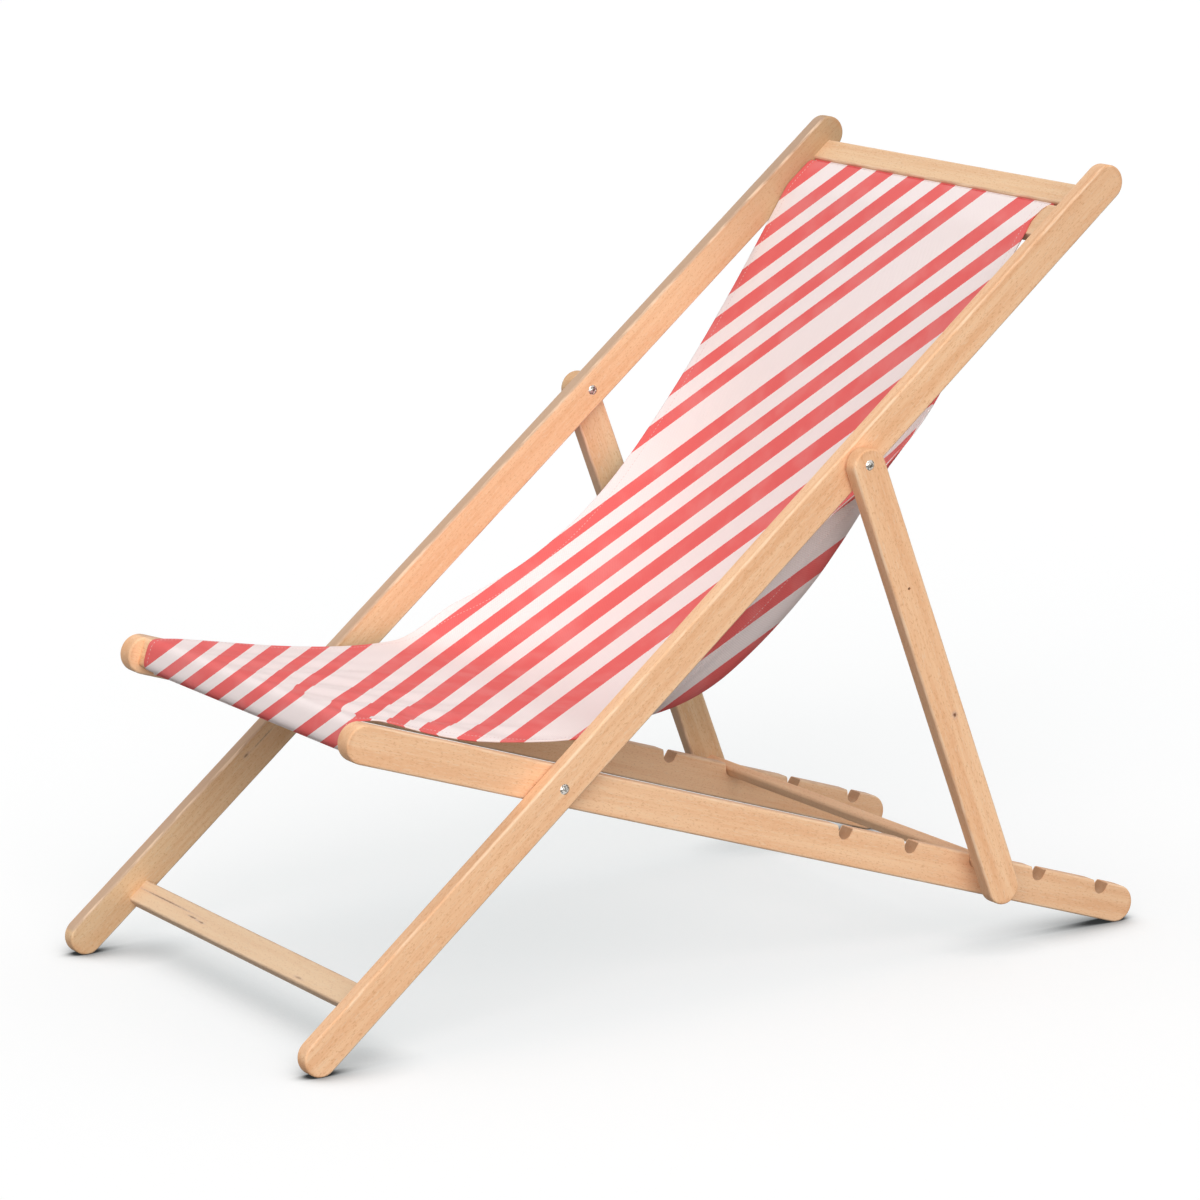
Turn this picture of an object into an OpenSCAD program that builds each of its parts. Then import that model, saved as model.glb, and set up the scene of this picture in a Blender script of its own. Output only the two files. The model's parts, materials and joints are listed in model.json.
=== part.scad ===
// Folding deck chair with a fabric sling, standing in one of its notches.
// Millimetres. +X is the sitter's left, -Y is the front, +Z is up.
// The origin is on the floor, under the middle of the chair.

/* [Back frame] */
// Length of each back rail, from the tip of the foot to the top tip
back_rail_len = 1300; // [1200:1:1400]
// Width of each back rail, seen from the side
back_rail_w = 38.9; // [34:0.1:46]
// Thickness of each back rail
back_rail_t = 18.2; // [14:0.1:24]
// Width over the two back rails
back_w = 534.4; // [480:0.2:600]
// From the tip of the foot to the seat pivot
foot_to_seat_pivot = 390.7; // [360:0.1:420]
// From the seat pivot to the prop pivot
seat_to_prop_pivot = 470.5; // [440:0.1:500]

/* [Seat frame] */
// Length of each seat rail, tip to tip
seat_rail_len = 1044; // [1000:1:1090]
// Width of each seat rail, seen from the side
seat_rail_w = 41.1; // [36:0.1:48]
// Thickness of each seat rail
seat_rail_t = 21.5; // [16:0.1:28]
// From the seat pivot to the rear tip
seat_pivot_to_rear = 791.8; // [770:0.1:820]

/* [Prop frame] */
// Length of each prop leg, tip to tip
prop_leg_len = 551.6; // [530:0.1:580]
// Width of each prop leg, seen from the side
prop_leg_w = 39.4; // [34:0.1:46]
// Thickness of each prop leg
prop_leg_t = 17.8; // [15:0.1:24]
// From the top tip of the leg to its pivot
prop_top_to_pivot = 16.8; // [13:0.1:22]
// From the prop pivot to the middle of the prop bar
prop_reach = 491.5; // [480:0.5:500]
// Side of the square prop bar
prop_bar_side = 13.4; // [11:0.1:15]
// Diameter of the round tenons at the prop bar's ends
prop_tenon_d = 10; // [8:0.1:11]
// Rounding of the prop bar's corners
prop_bar_round = 3.5; // [2:0.1:5]
// From the prop pivot down to the pilot hole
pilot_at = 147; // [100:1:300]
// Diameter of the pilot hole
pilot_d = 3.2; // [2:0.1:5]

/* [Notches] */
// Number of notches in each seat rail
notch_count = 5; // [4:1:5]
// Notch that the prop bar rests in, counted from the front
rest_notch = 3; // [2:1:4]
// From the seat pivot to the first notch
first_notch_at = 378; // [360:1:390]
// Distance between notches
notch_pitch = 90.8; // [84:0.1:94]
// Depth of each notch
notch_depth = 13.8; // [12:0.1:16]
// From the middle of a notch to its front corner
notch_front_lip = 11; // [10:0.1:14]
// From the middle of a notch to its rear corner
notch_rear_lip = 10; // [9.5:0.1:13]

/* [Crossbars] */
// Thickness of the slats across the back frame
slat_t = 14; // [11:0.1:16]
// Width of the foot crossbar and of the upper top crossbar
slat_w = 29; // [24:0.5:34]
// Width of the lower top crossbar, which the fabric lies on
wide_slat_w = 45; // [40:0.5:50]
// From the tip of the foot to the middle of the foot crossbar
foot_slat_at = 95.5; // [80:0.5:120]
// From the top tip of the rails to the middle of the upper top crossbar
top_slat_at = 38; // [36:0.5:46]
// Slot between the two top crossbars, which the fabric passes through
slot_w = 4; // [3.6:0.1:10]
// Height of the front crossbar
front_bar_h = 32.5; // [28:0.1:34]
// Thickness of the front crossbar
front_bar_t = 15; // [13:0.1:18]
// Rounding of the front crossbar's corners
front_bar_round = 6; // [4:0.1:6.4]
// Rise of the front crossbar's middle above the rails' middle line
front_bar_rise = 3.75; // [2:0.05:4]
// Diameter of the two rods that hold the hems
rod_d = 12; // [9:0.1:13]
// How far the top rod reaches past the fabric's left edge
rod_overhang = 10; // [4:0.5:25]

/* [Fabric] */
// Thickness of the fabric
fabric_t = 2; // [1.2:0.1:2.5]
// From the fabric's right edge to the seat rail, at the front
right_gap_front = 14.7; // [5:0.1:30]
// From the fabric's right edge to the back rail, at the top
right_gap_top = 1.5; // [1.2:0.1:20]
// From the fabric's left edge to the seat rail, at the front
left_gap_front = 1.2; // [1.2:0.1:20]
// From the fabric's left edge to the back rail, at the lower top crossbar
left_gap_top = 48; // [30:0.5:60]
// From the fabric's left edge to the back rail, in the slot
left_gap_slot = 51; // [35:0.5:60]
// Angle at which the fabric drops away from the front crossbar
front_dip = 12.8; // [9:0.1:16]
// How far the front of the fabric keeps that direction
front_pull = 336; // [300:1:370]
// Slope at which the fabric reaches the top crossbars
back_lean = 56.4; // [53:0.1:60]
// How far the back of the fabric keeps that direction
back_pull = 673; // [630:1:700]
// Height that the fabric's skewed edges differ by, over the seat
skew = 12.6; // [0:0.1:20]
// How far the fabric's middle bags down between its taut edges, half way up the back
bag = 48; // [0:1:60]
// How far its right edge stands up there
right_curl = 21; // [0:1:30]
// How far its left edge stands up there
left_curl = 44; // [0:1:55]
// Width of the strip that stands up along each edge
curl_w = 48; // [35:1:80]
// How far the front half of the fabric reaches past the seat pivot
half_reach = 38; // [30:0.5:50]
// Length that the two halves of the fabric overlap by
half_overlap = 8; // [4:0.5:12]
// Clearance between the two halves where they overlap
half_gap = 1.2; // [0.5:0.1:2]
// Length over which the back half comes down to the fabric's line
half_fade = 60; // [40:1:90]

/* [Pivots] */
// Outer diameter of the barrel nuts that the frames turn on
barrel_d = 7; // [6:0.1:9]
// Diameter of the screws
screw_d = 4; // [3:0.1:5]
// Diameter of the screw heads and barrel heads
head_d = 11; // [10:0.1:14]
// Height of the screw heads and barrel heads
head_h = 2.2; // [1.5:0.1:3]
// Outer diameter of the washers between the frames
washer_d = 20; // [16:0.5:26]
// Solid length at the closed end of each barrel nut
barrel_floor = 4; // [2:0.1:6]
// How far each barrel nut stops short of its screw's head
barrel_short = 1; // [0.5:0.1:2]
// Space between two frames at a pivot
pivot_gap = 2.8; // [2:0.1:4]

/* [Fits] */
// Rounding of the long edges of the wood
edge_round = 2.5; // [1.5:0.1:4]
// Depth of the flat worn on each foot
foot_flat = 0.8; // [0.3:0.1:1.5]
// Length of the tenons
tenon_len = 12; // [8:0.5:13]
// Shoulder around each tenon
tenon_shoulder = 3; // [2:0.1:4]
// Depth that the rods and the prop bar's ends enter the wood
socket_depth = 9; // [6:0.5:12]
// Running clearance around each barrel nut, on the radius
running_fit = 0.05; // [0.02:0.01:0.1]
// Clearance around tenons and rods in their sockets
glue_fit = 0.1; // [0.05:0.01:0.2]
// Clearance between pieces that move past each other
slip = 0.2; // [0.2:0.05:0.3]
// Clearance between fabric and wood
fabric_gap = 0.3; // [0.2:0.05:0.5]

/* [Hidden] */
$fn = 48;
// Steps of the fabric's hanging stretch, of each of its bends and across it, and facets of its hems
hang_steps = 48;
bend_steps = 8;
cross_steps = 10;
hem_facets = 24;
// How far a cut runs on past the face it comes out of
past = 1;
// How far a notch's straight walls bite into the circle of its bottom
wall_bite = 0.05;
// Shares of the hanging stretch: where the right edge is fully out, and the left edge starts inwards
right_full = 0.8;
left_turn = 0.78;
// Shares of it where each form starts to swell, is full, starts to fade and is gone
bag_swell = [0.31, 0.58, 0.7, 0.97];
right_swell = [0.36, 0.49, 0.5, 0.8];
left_swell = [0.4, 0.6, 0.68, 0.86];
wood = "#E9BA8B";
far_wood = "#D9A877";
red_stripe = "#E3837F";
metal = "#B9B6AF";

// Half widths of the frames, from the middle of the chair
back_out = back_w / 2;
back_in = back_out - back_rail_t;
seat_out = back_in - pivot_gap;
seat_in = seat_out - seat_rail_t;
prop_in = back_out + pivot_gap;
prop_out = prop_in + prop_leg_t;

// Notch shape: a round bottom that clears the turned square bar all round
bar_corner = (prop_bar_side / 2 - prop_bar_round) * sqrt(2) + prop_bar_round;
notch_r = bar_corner + fabric_gap;
notch_c = seat_rail_w / 2 - notch_depth + notch_r;
function notch_a(k) = first_notch_at + notch_pitch * (k - 1);

// The triangle of seat pivot, prop pivot and prop bar fixes the angle between the rails
bar_a = notch_a(rest_notch);
bar_dist = norm([bar_a, notch_c]);
pivot_angle = acos((seat_to_prop_pivot * seat_to_prop_pivot + bar_dist * bar_dist
  - prop_reach * prop_reach) / (2 * seat_to_prop_pivot * bar_dist));
opening = pivot_angle + atan2(notch_c, bar_a);

// The feet and the rear tips stand on the floor, which fixes how the pair of rails leans
foot_z = back_rail_w / 2 - foot_flat;
rear_z = seat_rail_w / 2 - foot_flat;
foot_arm = foot_to_seat_pivot - back_rail_w / 2;
rear_arm = seat_pivot_to_rear - seat_rail_w / 2;
lean_y = rear_arm * sin(opening);
lean_x = foot_arm + rear_arm * cos(opening);
back_angle = atan2(lean_y, lean_x) + asin((rear_z - foot_z) / norm([lean_x, lean_y]));
seat_angle = opening - back_angle;

// Directions along the back rail, the seat rail, and square to them, as [y, z]
back_u = [cos(back_angle), sin(back_angle)];
back_n = [-sin(back_angle), cos(back_angle)];
seat_u = [cos(seat_angle), -sin(seat_angle)];
seat_n = [sin(seat_angle), cos(seat_angle)];

// The chair's length is centred on the origin
pivot_z = foot_z + foot_arm * back_u[1];
front_y = -foot_arm * back_u[0] - back_rail_w / 2;
rear_y = rear_arm * seat_u[0] + seat_rail_w / 2;
top_arm = back_rail_len - foot_to_seat_pivot - back_rail_w / 2;
top_y = top_arm * back_u[0] + back_rail_w / 2;
seat_pivot = [-(front_y + max(rear_y, top_y)) / 2, pivot_z];
prop_pivot = seat_pivot + seat_to_prop_pivot * back_u;
bar_centre = seat_pivot + bar_a * seat_u + notch_c * seat_n;
prop_angle = -atan2(bar_centre[1] - prop_pivot[1], bar_centre[0] - prop_pivot[0]);

// Crossbar places, along the back rail from the seat pivot and square to it
slat_c = slat_t / 2 - back_rail_w / 2;
foot_slat_a = foot_slat_at - foot_to_seat_pivot;
top_slat_a = back_rail_len - foot_to_seat_pivot - top_slat_at;
slot_low_a = top_slat_a - slat_w / 2 - slot_w;
wide_slat_a = slot_low_a - wide_slat_w / 2;
slat_face_c = slat_c + slat_t / 2;

// Front crossbar, along the seat rail from the seat pivot and square to it
front_bar_a = seat_pivot_to_rear - seat_rail_len + seat_rail_w / 2;
front_bar_c = front_bar_rise;

// The fabric's middle layer runs this far off whatever it lies on
fabric_off = fabric_gap + fabric_t / 2;
hem_r = rod_d / 2 + glue_fit + fabric_t / 2;
front_rod_a = front_bar_a + front_bar_t / 2 + fabric_off + hem_r;
front_rod_c = front_bar_c - front_bar_h / 2 + front_bar_round + hem_r / 2;
top_rod_a = slot_low_a + fabric_off + hem_r;
top_rod_c = slat_c - slat_t / 2 - fabric_gap - hem_r - fabric_t / 2;

// Points of the frames' own planes, as [y, z]
function on_back(a, c) = seat_pivot + a * back_u + c * back_n;
function on_seat(a, c) = seat_pivot + a * seat_u + c * seat_n;
function heading(angle) = [cos(angle), sin(angle)];
// Points on an arc about a centre, from one angle to another
function arc(centre, r, from, to, steps) =
  [for (i = [0:steps]) centre + r * heading(from + (to - from) * i / steps)];

// Hanging stretch of the fabric: one cubic curve from the front bar to the top bars
front_round_mid = on_seat(front_bar_a - front_bar_t / 2 + front_bar_round,
  front_bar_c + front_bar_h / 2 - front_bar_round);
top_round_mid = on_back(wide_slat_a - wide_slat_w / 2 + edge_round, slat_face_c - edge_round);
hang_start = front_round_mid + (front_bar_round + fabric_off) * heading(90 - front_dip);
hang_end = top_round_mid + (edge_round + fabric_off) * heading(90 + back_lean);
hang_a = hang_start + front_pull * heading(-front_dip);
hang_b = hang_end - back_pull * heading(back_lean);
function hang(t) = pow(1 - t, 3) * hang_start + 3 * t * pow(1 - t, 2) * hang_a
  + 3 * t * t * (1 - t) * hang_b + t * t * t * hang_end;
// Place on the curve that lies over a given y, found by halving
function hang_at(y, low = 0, high = 1, n = 20) =
  n == 0 ? (low + high) / 2 :
  hang((low + high) / 2)[0] < y ? hang_at(y, (low + high) / 2, high, n - 1)
    : hang_at(y, low, (low + high) / 2, n - 1);

// The two halves of the fabric overlap like shingles just behind the seat pivot
t_seat = hang_at(seat_pivot[0] + half_reach);
t_back = hang_at(seat_pivot[0] + half_reach - half_overlap);
half_lift = fabric_t + half_gap;
function ease(x) = x <= 0 ? 0 : x >= 1 ? 1 : x * x * (3 - 2 * x);

// Edges of the fabric, from the middle of the chair
right_front = right_gap_front - seat_in;
right_top = right_gap_top - back_in;
left_front = seat_in - left_gap_front;
left_top = back_in - left_gap_top;
left_slot = back_in - left_gap_slot;
function edge_right(t) = right_front + (right_top - right_front) * min(1, t / right_full);
function edge_left(t) = left_front + (left_top - left_front) * ease((t - left_turn) / (1 - left_turn));

function swell(t, s) = ease((t - s[0]) / (s[1] - s[0])) * (1 - ease((t - s[2]) / (s[3] - s[2])));

// A station of the fabric: [y, z, lift at the right edge, at the left edge, right x, left x,
// depth of the bag, height of the right edge, height of the left edge]
function hang_station(t, lift) = [hang(t)[0], hang(t)[1],
  lift + skew / 2 * sin(360 * t), lift - skew / 2 * sin(360 * t), edge_right(t), edge_left(t),
  bag * swell(t, bag_swell), right_curl * swell(t, right_swell), left_curl * swell(t, left_swell)];
function flat_station(p, right_x, left_x) = [p[0], p[1], 0, 0, right_x, left_x, 0, 0, 0];
// Height of the fabric over its path, at a share of the way from its right edge to its left
function height(st, share) = let (w = st[5] - st[4]) st[2] + (st[3] - st[2]) * share
  - st[6] * (1 - pow(2 * share - 1, 4)) + st[7] * pow(max(0, 1 - share * w / curl_w), 2)
  + st[8] * pow(max(0, 1 - (1 - share) * w / curl_w), 2);

// Square to the path at station i, as [y, z]
function along(s, i) = [s[min(i + 1, len(s) - 1)][0] - s[max(i - 1, 0)][0],
  s[min(i + 1, len(s) - 1)][1] - s[max(i - 1, 0)][1]];
function square_to(s, i) = [-along(s, i)[1], along(s, i)[0]] / norm(along(s, i));
function ribbon_point(s, i, share, off) = let (up = height(s[i], share) + off)
  [s[i][4] + (s[i][5] - s[i][4]) * share,
  s[i][0] + up * square_to(s, i)[0], s[i][1] + up * square_to(s, i)[1]];

// A band of fabric through the stations, fabric_t thick, with its steps across closer at its edges
module ribbon(s, steps) {
  n = len(s);
  ring = 2 * steps + 2;
  points = [for (i = [0:n - 1]) for (k = [0:ring - 1]) ribbon_point(s, i,
    (1 - cos(180 * min(k, ring - 1 - k) / steps)) / 2, k <= steps ? fabric_t / 2 : -fabric_t / 2)];
  sides = [for (i = [0:n - 2]) for (k = [0:ring - 1]) for (f = [
    [ring * i + k, ring * (i + 1) + k, ring * i + (k + 1) % ring],
    [ring * i + (k + 1) % ring, ring * (i + 1) + k, ring * (i + 1) + (k + 1) % ring]]) f];
  front = [for (k = [0:steps - 1]) for (f = [
    [k, k + 1, ring - 2 - k], [k, ring - 2 - k, ring - 1 - k]]) f];
  rear = [for (f = front) [for (k = [0, 2, 1]) f[k] + ring * (n - 1)]];
  polyhedron(points, concat(sides, front, rear), convexity = 8);
}

// Hem sewn round a rod that lies along X
module hem(p, right_x, left_x) {
  translate([right_x, p[0], p[1]]) rotate([0, 90, 0]) difference() {
    cylinder(r = hem_r + fabric_t / 2, h = left_x - right_x, $fn = hem_facets);
    translate([0, 0, -past])
      cylinder(r = hem_r - fabric_t / 2, h = left_x - right_x + 2 * past, $fn = hem_facets);
  }
}

// Rectangle with round corners, about the origin
module round_rect(w, h, r) {
  square([w - 2 * r, h], center = true);
  square([w, h - 2 * r], center = true);
  for (i = [-1, 1], j = [-1, 1]) translate([i * (w / 2 - r), j * (h / 2 - r)]) circle(r);
}

// Half of a round rail end, reaching towards -Y from the origin
module round_end(w, t) {
  mirror([0, 1, 0]) rotate([0, 90, 0]) rotate_extrude(angle = 180) intersection() {
    round_rect(w, t, edge_round);
    translate([0, -t]) square([w, 2 * t]);
  }
}

// Flat rail with round ends, its tip at the origin, lying along +Y, t thick along X
module rail(length, w, t) {
  straight = length - w;
  translate([0, w / 2, 0]) {
    rotate([-90, 0, 0]) linear_extrude(straight) round_rect(t, w, edge_round);
    round_end(w, t);
    translate([0, straight, 0]) mirror([0, 1, 0]) round_end(w, t);
  }
}

// Bar along X, w wide along Y and h high, middle at the origin
module crossbar(length, w, h, r) {
  translate([-length / 2, 0, 0]) rotate([90, 0, 90]) linear_extrude(length) round_rect(w, h, r);
}

// The same bar with a tenon on each end, or the mortises for them when grow is the clearance
module tenons(inner_half, w, h, grow) {
  cube([2 * (inner_half + tenon_len + 2 * grow), w - 2 * tenon_shoulder + 2 * grow,
    h - 2 * tenon_shoulder + 2 * grow], center = true);
}
module tenoned_bar(inner_half, w, h, r) {
  crossbar(2 * inner_half, w, h, r);
  tenons(inner_half, w, h, 0);
}

// Frames' own places: local Y runs along the rail from its pivot, local Z is square to it
module in_back() {
  translate([0, seat_pivot[0], seat_pivot[1]]) rotate([back_angle, 0, 0]) children();
}
module in_seat() {
  translate([0, seat_pivot[0], seat_pivot[1]]) rotate([-seat_angle, 0, 0]) children();
}
module in_prop() {
  translate([0, prop_pivot[0], prop_pivot[1]]) rotate([-prop_angle, 0, 0]) children();
}
// Mirrored to the right side when side is -1
module on_side(side) {
  mirror([side < 0 ? 1 : 0, 0, 0]) children();
}
// Round hole or pin along X, from x0 to x1, at a place [y, z]
module along_x(p, r, x0, x1) {
  translate([x0, p[0], p[1]]) rotate([0, 90, 0]) cylinder(r = r, h = x1 - x0);
}
module below_floor() {
  translate([-back_w, -back_rail_len, -back_rail_w]) cube([2 * back_w, 2 * back_rail_len, back_rail_w]);
}

// Sockets in the back rails for the three crossbars of the back frame
module back_mortises() {
  for (a = [foot_slat_a, top_slat_a])
    translate([0, a, slat_c]) tenons(back_in, slat_w, slat_t, glue_fit);
  translate([0, wide_slat_a, slat_c]) tenons(back_in, wide_slat_w, slat_t, glue_fit);
}

module back_rail(side) {
  bore_r = barrel_d / 2 + running_fit;
  on_side(side) difference() {
    in_back() translate([(back_in + back_out) / 2, -foot_to_seat_pivot, 0])
      rail(back_rail_len, back_rail_w, back_rail_t);
    in_back() back_mortises();
    for (p = [seat_pivot, prop_pivot]) along_x(p, bore_r, back_in - past, back_out + past);
    below_floor();
  }
}
module back_rail_left() { color(wood) back_rail(1); }
module back_rail_right() { color(far_wood) back_rail(-1); }
module foot_crossbar() {
  color(wood) in_back() translate([0, foot_slat_a, slat_c])
    tenoned_bar(back_in, slat_w, slat_t, edge_round);
}
module top_crossbar_upper() {
  color(wood) in_back() translate([0, top_slat_a, slat_c])
    tenoned_bar(back_in, slat_w, slat_t, edge_round);
}
module top_crossbar_lower() {
  color(far_wood) in_back() translate([0, wide_slat_a, slat_c])
    tenoned_bar(back_in, wide_slat_w, slat_t, edge_round);
}
module top_hem_rod() {
  color(wood) along_x(on_back(top_rod_a, top_rod_c), rod_d / 2, slip - back_in, left_slot + rod_overhang);
}

// One notch in the side view: a round bottom, with straight walls up to its two lips
module notch_outline() {
  lip = seat_rail_w / 2 - notch_c;
  front = [-notch_front_lip, lip];
  rear = [notch_rear_lip, lip];
  wall_r = notch_r - wall_bite;
  front_turn = 180 - atan2(lip, notch_front_lip) + acos(wall_r / norm(front));
  rear_turn = atan2(lip, notch_rear_lip) - acos(wall_r / norm(rear));
  circle(notch_r);
  polygon([wall_r * heading(front_turn), front, front + [0, notch_depth], rear + [0, notch_depth],
    rear, wall_r * heading(rear_turn), [0, 0]]);
}
module seat_rail(side) {
  on_side(side) difference() {
    in_seat() translate([(seat_in + seat_out) / 2, seat_pivot_to_rear - seat_rail_len, 0])
      rail(seat_rail_len, seat_rail_w, seat_rail_t);
    in_seat() for (k = [1:notch_count]) translate([seat_in - past, notch_a(k), notch_c])
      rotate([90, 0, 90]) linear_extrude(seat_rail_t + 2 * past) notch_outline();
    in_seat() translate([0, front_bar_a, front_bar_c])
      tenons(seat_in, front_bar_t, front_bar_h, glue_fit);
    along_x(on_seat(front_rod_a, front_rod_c), rod_d / 2 + glue_fit, seat_in - past,
      seat_in + socket_depth + glue_fit);
    along_x(seat_pivot, barrel_d / 2 + running_fit, seat_in - past, seat_out + past);
    below_floor();
  }
}
module seat_rail_left() { color(wood) seat_rail(1); }
module seat_rail_right() { color(far_wood) seat_rail(-1); }
module front_crossbar() {
  color(wood) in_seat() translate([0, front_bar_a, front_bar_c])
    tenoned_bar(seat_in, front_bar_t, front_bar_h, front_bar_round);
}
module front_hem_rod() {
  reach = seat_in + socket_depth;
  color(wood) along_x(on_seat(front_rod_a, front_rod_c), rod_d / 2, -reach, reach);
}

// Fabric from the front rod, under and over the front crossbar, to behind the seat pivot
module sling_seat() {
  r = front_bar_round + fabric_off;
  half_t = front_bar_t / 2 - front_bar_round;
  low = front_bar_c - front_bar_h / 2 + front_bar_round;
  lower_rear = on_seat(front_bar_a + half_t, low);
  lower_front = on_seat(front_bar_a - half_t, low);
  wrap = concat([on_seat(front_bar_a + front_bar_t / 2 + fabric_off, front_rod_c)],
    arc(lower_rear, r, -seat_angle, -seat_angle - 90, bend_steps),
    arc(lower_front, r, -seat_angle - 90, -seat_angle - 180, bend_steps),
    arc(front_round_mid, r, -seat_angle - 180, -270 - front_dip, bend_steps));
  steps = ceil(hang_steps * t_seat);
  stations = concat([for (p = wrap) flat_station(p, right_front, left_front)],
    [for (i = [1:steps]) hang_station(t_seat * i / steps, 0)]);
  color(red_stripe) {
    ribbon(stations, 1);
    hem(on_seat(front_rod_a, front_rod_c), right_front, left_front);
  }
}

// Fabric from behind the seat pivot, over the lower top crossbar and through the slot
module sling_back() {
  r = edge_round + fabric_off;
  upper = on_back(slot_low_a - edge_round, slat_face_c - edge_round);
  steps = ceil(hang_steps * (1 - t_back));
  hanging = [for (i = [0:steps - 1]) let (t = t_back + (1 - t_back) * i / steps,
    run = norm(hang(t) - hang(t_back))) hang_station(t, half_lift * (1 - ease(run / half_fade)))];
  bend = arc(top_round_mid, r, 90 + back_lean, 90 + back_angle, bend_steps);
  turn = arc(upper, r, 90 + back_angle, back_angle, bend_steps);
  tail = on_back(slot_low_a + fabric_off, top_rod_c);
  color(red_stripe) {
    ribbon(concat(hanging,
      [for (p = bend) flat_station(p, right_top, left_top)],
      [for (p = concat(turn, [tail])) flat_station(p, right_top, left_slot)]), cross_steps);
    hem(on_back(top_rod_a, top_rod_c), right_top, left_slot);
  }
}

module prop_leg(side) {
  on_side(side) difference() {
    in_prop() translate([(prop_in + prop_out) / 2, -prop_top_to_pivot, 0])
      rail(prop_leg_len, prop_leg_w, prop_leg_t);
    along_x(prop_pivot, barrel_d / 2 + running_fit, prop_in - past, prop_out + past);
    along_x(bar_centre, prop_tenon_d / 2 + glue_fit, prop_in - past,
      prop_in + socket_depth + glue_fit);
    in_prop() along_x([pilot_at, 0], pilot_d / 2, prop_in - past, prop_out + past);
  }
}
module prop_leg_left() { color(wood) prop_leg(1); }
module prop_leg_right() { color(far_wood) prop_leg(-1); }
module prop_bar() {
  reach = prop_in + socket_depth;
  color(wood) {
    in_prop() translate([0, prop_reach, 0])
      crossbar(2 * prop_in, prop_bar_side, prop_bar_side, prop_bar_round);
    along_x(bar_centre, prop_tenon_d / 2, -reach, reach);
  }
}

// Low domed head with a cross recess, on the face x = 0, reaching towards +X
module head() {
  dome_r = (head_d * head_d / 4 + head_h * head_h) / (2 * head_h);
  recess = head_d / 2;
  difference() {
    rotate([0, 90, 0]) rotate_extrude() intersection() {
      translate([0, head_h - dome_r]) circle(dome_r);
      square([head_d / 2, head_h]);
    }
    for (turn = [0, 90]) rotate([turn, 0, 0]) translate([head_h / 2, -recess / 2, -head_h / 4])
      cube([head_h, recess, head_h / 2]);
  }
}
// Screw, its head's underside at x, reaching inwards into the barrel nut
module screw(p, x, depth) {
  translate([x, p[0], p[1]]) {
    head();
    translate([-depth, 0, 0]) rotate([0, 90, 0]) cylinder(d = screw_d, h = depth + head_h / 4);
  }
}
// Barrel nut from its head at x0 to its open end at x1, bored for the screw
module barrel(p, x0, x1) {
  difference() {
    union() {
      translate([x0, p[0], p[1]]) mirror([1, 0, 0]) head();
      along_x(p, barrel_d / 2, x0, x1);
    }
    along_x(p, screw_d / 2 + running_fit, x0 + barrel_floor, x1 + past);
  }
}
module washer(p, x0, x1) {
  difference() {
    along_x(p, washer_d / 2, x0 + slip, x1 - slip);
    along_x(p, barrel_d / 2 + running_fit, x0, x1);
  }
}

// The barrel stops short of the screw's head, and the screw short of the barrel's blind end
module seat_pivot_screw(side) {
  color(metal) on_side(side) screw(seat_pivot, back_out, back_rail_t);
}
module seat_pivot_barrel(side) {
  color(metal) on_side(side) barrel(seat_pivot, seat_in - slip, back_out - barrel_short);
}
module seat_pivot_washer(side) {
  color(metal) on_side(side) washer(seat_pivot, seat_out, back_in);
}
module prop_pivot_screw(side) {
  color(metal) on_side(side) screw(prop_pivot, prop_out + slip, prop_leg_t);
}
module prop_pivot_barrel(side) {
  color(metal) on_side(side) barrel(prop_pivot, back_in, prop_out - barrel_short);
}
module prop_pivot_washer(side) {
  color(metal) on_side(side) washer(prop_pivot, back_out, prop_in);
}

back_rail_left();
back_rail_right();
foot_crossbar();
top_crossbar_lower();
top_crossbar_upper();
top_hem_rod();
sling_back();
seat_rail_left();
seat_rail_right();
front_crossbar();
front_hem_rod();
sling_seat();
prop_leg_left();
prop_leg_right();
prop_bar();
seat_pivot_screw(1);  // seat_pivot_screw_left
seat_pivot_screw(-1);  // seat_pivot_screw_right
seat_pivot_barrel(1);  // seat_pivot_barrel_left
seat_pivot_barrel(-1);  // seat_pivot_barrel_right
seat_pivot_washer(1);  // seat_pivot_washer_left
seat_pivot_washer(-1);  // seat_pivot_washer_right
prop_pivot_screw(1);  // prop_pivot_screw_left
prop_pivot_screw(-1);  // prop_pivot_screw_right
prop_pivot_barrel(1);  // prop_pivot_barrel_left
prop_pivot_barrel(-1);  // prop_pivot_barrel_right
prop_pivot_washer(1);  // prop_pivot_washer_left
prop_pivot_washer(-1);  // prop_pivot_washer_right
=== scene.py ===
"""Folding deck chair in beech with a striped canvas sling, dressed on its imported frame."""
import json
import math

import bpy
import numpy as np
from bpy.props import FloatProperty, FloatVectorProperty, PointerProperty
from mathutils import Matrix, Vector


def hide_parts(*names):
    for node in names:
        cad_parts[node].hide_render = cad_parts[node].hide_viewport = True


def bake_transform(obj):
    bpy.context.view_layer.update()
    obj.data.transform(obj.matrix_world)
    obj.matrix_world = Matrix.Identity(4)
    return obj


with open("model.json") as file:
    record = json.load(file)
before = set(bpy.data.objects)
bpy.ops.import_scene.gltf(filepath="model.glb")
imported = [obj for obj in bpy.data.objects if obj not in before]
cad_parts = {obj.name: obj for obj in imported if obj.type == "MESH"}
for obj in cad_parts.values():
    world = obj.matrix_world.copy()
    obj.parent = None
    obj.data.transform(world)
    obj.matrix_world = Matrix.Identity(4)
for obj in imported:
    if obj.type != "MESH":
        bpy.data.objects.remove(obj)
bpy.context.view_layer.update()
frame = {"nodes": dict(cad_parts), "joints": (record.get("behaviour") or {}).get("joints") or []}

bl_info = {
    "name": "Deck Chair",
    "version": (1, 0, 0),
    "blender": (4, 5, 0),
    "location": "View3D > Sidebar > Deck Chair",
    "description": "Finishes, sling, stitching and stage for a folding beech deck chair",
    "category": "Object",
}

MM = 0.001

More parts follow.
